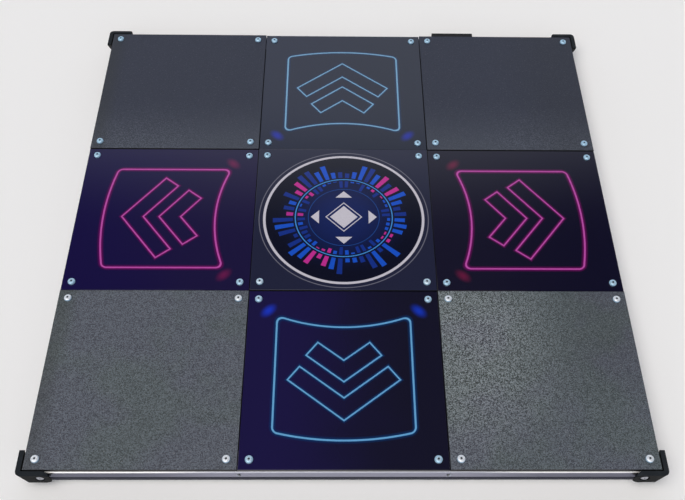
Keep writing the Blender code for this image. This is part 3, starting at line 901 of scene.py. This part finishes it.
across_finish = drawn_aluminium("drawn_aluminium_across", (0.02, 1, 1))
along_finish = drawn_aluminium("drawn_aluminium_along", (1, 0.02, 1))
rails = {}
for turns, name in enumerate(SIDES):
    rails[name] = copy_of(front_rail, f"rail_{name}_channel", turn=(0, 0, turns * QUARTER))
discard(front_rail)
box_low, box_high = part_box("controller_box")
window_low = (box_low.x - 0.0003, 0.388, box_low.z + 0.0022)
cut(rails["back"], block("window", window_low, (box_high.x + 0.0003, 0.43, 0.04)))
for name, rail in rails.items():
    finish = across_finish if name in ("front", "back") else along_finish
    dress(rail, finish, [f"rail_{name}"])
print("made", len(rails), "rails")

# %% [markdown]
# A countersunk screw is a disc whose lower face is extruded twice, once narrowing into the cone and once into
# the shank. Its cross recess is two slots, and their faces get a darker finish, painted shade for the recess.

# %% One countersunk screw
def countersunk_screw(radius, finish):
    """A flat-headed screw that points down, with its head's face at height 0 and a cross recess."""
    screw = rod("screw", (0, 0, -0.0002), radius, 0.0004, 32)
    with editing(screw, "FACE", flat_at(-0.0004)):
        extrude(0, 0, -0.0014)
        bpy.ops.transform.resize(value=(0.5, 0.5, 1), center_override=(0, 0, 0))
        extrude(0, 0, -0.0045)
    slot = radius * 0.5
    first = block("slot", (-slot, -0.0004, -0.0011), (slot, 0.0004, 0.001))
    second = copy_of(first, "slot", turn=(0, 0, QUARTER))
    cut(screw, first)
    cut(screw, second)
    soften(screw, 0.00012)
    two_finishes(screw, finish, -0.0012, -0.0002, slot * 0.9)
    return screw


def screw_pair(name, screw, places, turns):
    """Two copies of a screw, joined and turned by quarters to their side of the mat."""
    pair = joined("pair", [copy_of(screw, "screw", place, turn) for place, turn in places])
    dress(copy_of(pair, name, turn=(0, 0, turns * QUARTER)), None)
    discard(pair)


rail_screw = countersunk_screw(0.0034, steel_finish)
spots = [((side * SEAT_X, RAIL_FACE + 0.0003, SEAT_Z), (QUARTER, 0, side * 0.6)) for side in (-1, 1)]
for turns, name in enumerate(SIDES):
    screw_pair(f"rail_screws_{name}", rail_screw, spots, turns)
discard(rail_screw)
print("made eight rail screws")

# %% [markdown]
# ## Corner guards
#
# A moulded guard wraps each corner of the frame. It protects shins and skirting boards, and it is the first
# thing to touch when the mat is stood on its edge.
#
# The guard is an L: a block with its inside cut away. Its legs end differently. The legs on the front edge
# have a wide round end, thinned from behind. The other ends have a small rounding, and the legs along the
# sides also slope away towards the floor.

# %% Corner guards
GUARD_LOW, GUARD_HIGH = Vector((0.4213, 0.4213, 0.0118)), Vector((0.4280, 0.4280, 0.0348))
SCREW_Z = 0.0245
# where a leg ends, how round the end is, how far it slopes back, and where the screw is
LEGS = {
    "front": (0.3815, 0.01145, 0, 0.397),
    "back": (0.3880, 0.003, 0, 0.400),
    "side": (0.3905, 0.003, 0.013, 0.408),
}


def shape_end(piece, axis, leg):
    """Slopes and rounds the end of the leg that runs along X (axis 0) or along Y (axis 1)."""
    end, radius, slope = leg[:3]
    way = Vector((1 - axis, axis, 0))
    round_end = radius > 0.005

    def foot(points):
        return near(points[0][axis], end) and near(points[0].z, GUARD_LOW.z)

    def end_edge(points):
        places = [end + slope if near(point.z, GUARD_LOW.z) else end for point in points]
        across = near(points[0].z, points[1].z)
        return across and all(near(point[axis], place) for point, place in zip(points, places))

    with editing(piece, "VERT", foot):
        bpy.ops.transform.translate(value=way * slope)
    round_edges(piece, end_edge, radius, 12 if round_end else 4)
    if round_end:
        wedge = block("wedge", (-0.016, -0.012, 0), (0.016, 0, 0.05))
        place = way * 0.3912 + Vector((axis, 1 - axis, 0)) * GUARD_LOW.x
        cut(piece, copy_of(wedge, "back", place, (0, 0, math.radians((-34, -56)[axis]))))
        discard(wedge)


print("guard legs end at", {name: leg[0] for name, leg in LEGS.items()})

# %% [markdown]
# The outer corner is cut off at a slant, and the cut's upright edges and the guard's lower outer edges are
# rounded. Then come the seats of the two screws, and last the narrow rounding that every moulded edge has.

# %% One whole guard
ROUNDING = 0.0030


def slant_corner(piece):
    cut_point, slanted = Vector((0.4280, 0.4240, GUARD_HIGH.z)), Vector((1, 1, -0.367)).normalized()

    def corner_edge(points):
        on_cut = all(near((point - cut_point).dot(slanted), 0) for point in points)
        return on_cut and abs(points[0].z - points[1].z) > 0.01

    bisect(piece, cut_point, slanted, use_fill=True, clear_outer=True)
    round_edges(piece, corner_edge, ROUNDING, 4)


def lower_edge(points):
    outside = any(all(near(point[axis], GUARD_HIGH[axis]) for point in points) for axis in (0, 1))
    return outside and all(near(point.z, GUARD_LOW.z) for point in points)


def screw_places(legs):
    """Where the two screws' heads end, and how they are turned to point into the mat."""
    first = (legs[0][3], GUARD_HIGH.y, SCREW_Z), (-QUARTER, 0, 0)
    second = (GUARD_HIGH.x, legs[1][3], SCREW_Z), (0, QUARTER, 0)
    return first, second


def guard(legs):
    """The guard of the back right corner, with one leg along X and one along Y."""
    inner = Vector((legs[0][0], legs[1][0], GUARD_LOW.z))
    piece = block("guard", inner, GUARD_HIGH)
    cut(piece, block("inside", inner - Vector((0.05, 0.05, 0.05)), (GUARD_LOW.x, GUARD_LOW.y, 0.1)))
    for axis, leg in enumerate(legs):
        shape_end(piece, axis, leg)
    slant_corner(piece)
    round_edges(piece, lower_edge, ROUNDING, 4)
    for spot, turn in screw_places(legs):
        cut(piece, rod("seat", spot, 0.0064, 0.0068, 32, turn))
        cut(piece, rod("hole", spot, 0.0031, 0.02, 20, turn))
    return soften(piece, 0.0008, 3)


print("guards are", round((GUARD_HIGH.z - GUARD_LOW.z) * 1000, 1), "mm high")

# %% [markdown]
# The guards' plastic is black, satin and very finely spark-eroded, and its upright sides are coloured darker
# than what faces up, as painted shade. The controller's box is moulded in it too.

# %% Guards in place
def moulded_plastic(name, shade, bend, gloss):
    """Black plastic. The less it bends light, the less of a pale floor its upright sides mirror."""
    finish = Finish(name, {"IOR": bend, "Specular IOR Level": gloss})
    texture = finish.noise(1400.0, 2)
    scuffs = finish.noise(45.0, 5, finish.stretched(1, 1, 4))
    wear_and_sparkle = scuffs.step(0.52, 0.72)
    tone = (wear_and_sparkle * 0.6).mix(shade, [value + 14 for value in shade])
    # painted shade: the upright sides take a darker tone than the tops
    tone = finish.dark_sides(tone, [value * 0.4 for value in shade])
    return finish.coat(tone, 0.36 + texture * 0.1 + wear_and_sparkle * 0.12, texture, 0.00005, 0.5)


guard_finish = moulded_plastic("guard_plastic", (39, 43, 48), 1.25, 0.12)
pale_steel_finish = zinc("pale_steel", 0.5, (150, 152, 160), (178, 180, 188))
guard_screw = button_screw(0.0028, 0.0060, 0.0030, 0.0011, pale_steel_finish)
SCREW_SINK = 0.0035
corners = (("back", "right"), ("back", "left"), ("front", "left"), ("front", "right"))
for turns, (row, column) in enumerate(corners):
    legs = [LEGS[row], LEGS["side"]]
    if turns % 2:
        legs.reverse()
    model = guard(legs)
    piece = copy_of(model, f"corner_guard_{row}_{column}_moulding", turn=(0, 0, turns * QUARTER))
    discard(model)
    dress(piece, guard_finish, [f"corner_guard_{row}_{column}"])
    spots = []
    for spot, pointing in screw_places(legs):
        inward = [-SCREW_SINK if spot[axis] == GUARD_HIGH[axis] else 0 for axis in (0, 1)]
        spots.append((Vector(spot) + Vector((*inward, 0)), pointing))
    screw_pair(f"guard_screws_{row}_{column}", guard_screw, spots, turns)
discard(guard_screw)
print("made four guards and their screws")

# %% [markdown]
# ## Pieces that keep their engineering shape
#
# Boards, beams and housings are already the right shape and only lack the small roundings that catch the
# light. Their mesh is a shell of loose triangles, so a copy is merged, its flat faces are made whole again
# and its edges are rounded. The node itself is left as it is and the copy stands for it.

# %% Rounded copies
def rounded_copy(node, width, segments=2):
    piece = copy_of(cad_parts[node], f"{node}_rounded")
    for key in [key for key in piece.keys() if key.startswith("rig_")]:
        del piece[key]
    piece.parent = None
    piece.hide_render = piece.hide_viewport = False
    with editing(piece, "VERT", everything):
        bpy.ops.mesh.remove_doubles(threshold=0.00001)
        bpy.ops.mesh.dissolve_limited(angle_limit=math.radians(2))
    return soften(piece, width, segments)


def refine(nodes, width, finish):
    for node in nodes:
        dress(rounded_copy(node, width), finish, [node])


def painted_board():
    finish = Finish("painted_board", {"IOR": 1.3})
    fibres = finish.noise(240.0, 4, finish.stretched(0.15, 1, 1))
    tone = fibres.mix((35, 36, 49), (52, 54, 69))
    return finish.coat(tone, 0.5 + fibres * 0.2, fibres, 0.0001, 0.5)


refine(["base_board"], 0.0006, painted_board())
print("made the base board")

# %% [markdown]
# ## Rubber feet
#
# Three strips of ribbed rubber under the base board keep the mat from sliding. The ribs are what grips, so
# they are real: one strip is cut along its length by a row of grooves, and then copied for all three places.

# %% Rubber feet
rubber_finish = mottled("ribbed_rubber", 160.0, 4, (30, 30, 31), (52, 51, 50), 0.68, 0.2, 0.0001, IOR=1.5)
foot = block("foot", *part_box("foot_strip_middle"))
GROOVE_STEP, GROOVE_HALF = 0.006, 0.0012
grooves = []
for step in (-2.5, -1.5, -0.5, 0.5, 1.5, 2.5):
    y = step * GROOVE_STEP
    grooves.append(block("groove", (-0.4, y - GROOVE_HALF, -0.001), (0.4, y + GROOVE_HALF, 0.0012)))
cut(foot, *grooves)
soften(foot, 0.0003)
for row in ("front", "middle", "back"):
    low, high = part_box(f"foot_strip_{row}")
    piece = copy_of(foot, f"foot_strip_{row}_ribbed", (0, (low.y + high.y) / 2, 0))
    dress(piece, rubber_finish, [f"foot_strip_{row}"])
discard(foot)
print("made three feet")

# %% [markdown]
# ## Controller box, board and socket
#
# The electronics sit in a tray let into the back edge, right of the middle, where the cable is out of the
# way. The tray and the board have their final shape already and get their small roundings and finishes. The
# board's finish goes by place: green lacquer with paler tracks low down, then the parts that stand on it.

# %% Controller box and board
def circuit_board():
    finish = Finish("circuit_board", {"IOR": 1.5, "Roughness": 0.35})
    x, y, z = finish.parts(finish.place)
    tracks = abs((x * 420 + finish.noise(90.0, 0) * 3).math("FRACT") - 0.5)
    lacquer = tracks.step(0.30, 0.36).mix((14, 78, 44), (30, 112, 66))
    cases = y.step(0.3480, 0.3484).mix((44, 120, 76), (26, 26, 28))
    tone = z.step(0.02066, 0.0207).mix(lacquer, cases)
    return finish.coat(z.step(0.0188, 0.0190).mix((176, 148, 86), tone))


box_finish = moulded_plastic("box_plastic", (27, 27, 30), 1.4, 0.3)
refine(["controller_box"], 0.0004, box_finish)
refine(["controller_board"], 0.0002, circuit_board())
print("made the box and its board")

# %% [markdown]
# The socket is the square kind that printers use. A folded nickel shell has its two upper corners cut off so
# that the plug goes in only one way, and inside it a tongue of pale plastic carries four gilt contacts.

# %% Cable socket
def plated(name, first, second):
    return mottled(name, 700.0, 3, first, second, 0.18, 0.16, Metallic=1.0)


def upper_corner(points):
    """The edges that run along Y above the socket's middle."""
    along = near(points[0].x, points[1].x) and near(points[0].z, points[1].z)
    return along and points[0].z > centre.z


low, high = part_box("usb_socket")
centre = (low + high) / 2
shell = block("usb_socket_shell", low, high)
mouth_low = (centre.x - 0.0043, high.y - 0.009, centre.z - 0.00395)
mouth = block("mouth", mouth_low, (centre.x + 0.0043, high.y + 0.002, centre.z + 0.00395))
round_edges(mouth, upper_corner, 0.0021, 1)
cut(shell, mouth)
soften(shell, 0.00035)
dress(shell, plated("nickel", (196, 193, 186), (222, 220, 214)), ["usb_socket"])

tongue_low = (centre.x - 0.0028, high.y - 0.0095, centre.z - 0.0016)
tongue = block("usb_socket_tongue", tongue_low, (centre.x + 0.0028, high.y - 0.0012, centre.z + 0.0016))
ivory = mottled("ivory_plastic", 900.0, 2, (206, 203, 192), (226, 224, 214), 0.4, IOR=1.5)
dress(soften(tongue, 0.0003), ivory)
contacts = []
for x in (-0.00125, 0.00125):
    for side in (-1, 1):
        height = centre.z + side * 0.0017
        corner = (centre.x + x - 0.0005, high.y - 0.009, height - 0.0002)
        contacts.append(block("contact", corner, (centre.x + x + 0.0005, high.y - 0.0022, height + 0.0002)))
contacts = soften(joined("usb_socket_contacts", contacts), 0.0001)
dress(contacts, plated("gilt", (212, 172, 92), (232, 198, 126)))
print("made the cable socket")

# %% [markdown]
# ## Timber beams and sensor decks
#
# The beams under the inner grid lines are planed softwood, halved into each other. Their tops are coloured
# black as painted shade, so that the gaps between the tiles stay dark. Timber is drawn with a noise stretched
# along the grain, so beams that run the other way need the noise turned, and get a finish of their own. The
# decks under the arrow panels are birch board, sanded and left plain.

# %% Timber beams and sensor decks
def timber(name, stretch, pale, dark, shade_from=1.0):
    """Planed timber, black above a height as painted shade."""
    finish = Finish(name, {"IOR": 1.45})
    rings = finish.noise(34.0, 6, finish.stretched(*stretch))
    fibres = finish.noise(420.0, 3, finish.stretched(*stretch))
    tone = rings.step(0.42, 0.60).mix(pale, dark)
    tone = (fibres * 0.4).mix(tone, (120, 92, 60))
    # painted shade: black above the given height, for the gaps between the tiles
    painted = finish.parts(finish.place)[2].step(shade_from - 0.0004, shade_from)
    return finish.coat(painted.mix(tone, (30, 29, 30)), 0.55 + fibres * 0.2, fibres, 0.0002, 0.4)


PALE_PINE, DARK_PINE, GAP_SHADE_HEIGHT = (214, 186, 140), (184, 146, 96), 0.0270
across = timber("pine_across", (0.06, 1, 1), PALE_PINE, DARK_PINE, GAP_SHADE_HEIGHT)
along = timber("pine_along", (1, 0.06, 1), PALE_PINE, DARK_PINE, GAP_SHADE_HEIGHT)
for name, finish in (("front", across), ("left", along), ("back", across), ("right", along)):
    refine([f"beam_{name}"], 0.0006, finish)
birch = timber("birch_board", (0.15, 1, 1), (212, 190, 152), (190, 162, 120))
refine([f"sensor_deck_{name}" for name in PANELS], 0.0005, birch)
print("made the beams and decks")

# %% [markdown]
# ## Contact strips
#
# Two springy strips under each arrow panel close the circuit when the panel comes down. A strip is soft foam
# with a metal foil on its upper and lower face. It can't stay as thick as it was while the panel sinks, so
# the joint squashes it: at full travel it keeps two thirds of its height.

# %% Contact strips
def foil_on_foam():
    finish = Finish("foil_on_foam", {})
    foil = abs(finish.facing_up()).step(0.80, 0.92)
    cells = finish.noise(1600.0, 2)
    creases = finish.noise(70.0, 4)
    foam = cells.mix((66, 66, 68), (108, 108, 110))
    finish.shade({"Metallic": foil})
    rough = 0.8 - foil * 0.5 + creases * 0.12
    return finish.coat(foil.mix(foam, (206, 204, 198)), rough, cells * 0.5 + creases, 0.0003, 0.4)


foil_finish = foil_on_foam()
FOIL = 0.0001
strip_count = 0
for name in PANELS:
    for side in ("a", "b"):
        node = f"contact_strip_{name}_{side}"
        low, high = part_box(node)
        foil = Vector((0, 0, FOIL))
        strip = block(f"{node}_foam", low + foil, high - foil)
        for height, way in ((high.z - FOIL, 1), (low.z + FOIL, -1)):
            with editing(strip, "FACE", flat_at(height)):
                bpy.ops.mesh.inset(thickness=0.0012)
                extrude(0, 0, way * FOIL)
        smooth(strip)
        dress(strip, foil_finish, [node])
        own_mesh(strip)
        strip_count += 1
print("made", strip_count, "contact strips")

# %% [markdown]
# ## Light tapes
#
# Each arrow panel is lit by two small light chips on a white tape. The coloured spots they make through the
# print are a painted glow in the print itself; the chips here give no light. The chips stand above the tape,
# so the finish can tell them from it by their height.

# %% Light tapes
def light_tape():
    finish = Finish("light_tape", {"IOR": 1.5})
    height = finish.parts(finish.place)[2]
    speckle = finish.noise(800.0, 2)
    tape = speckle.mix((208, 210, 214), (228, 230, 232))
    chip = speckle.mix((224, 214, 150), (240, 232, 180))
    return finish.coat(height.step(0.02705, 0.0271).mix(tape, chip), 0.35 + speckle * 0.1)


refine([f"led_tape_{name}" for name in PANELS], 0.0001, light_tape())
print("made four light tapes")

# %% [markdown]
# ## Size and finish
#
# Last, the finished scene is measured, so that its box can be held against the engineering model's. The
# nodes that a finer piece stands for were hidden as each piece was dressed, and the mat is complete.

# %% Size and finish
low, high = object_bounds()
print("scene box in mm:", [round(size * 1000, 1) for size in high - low])
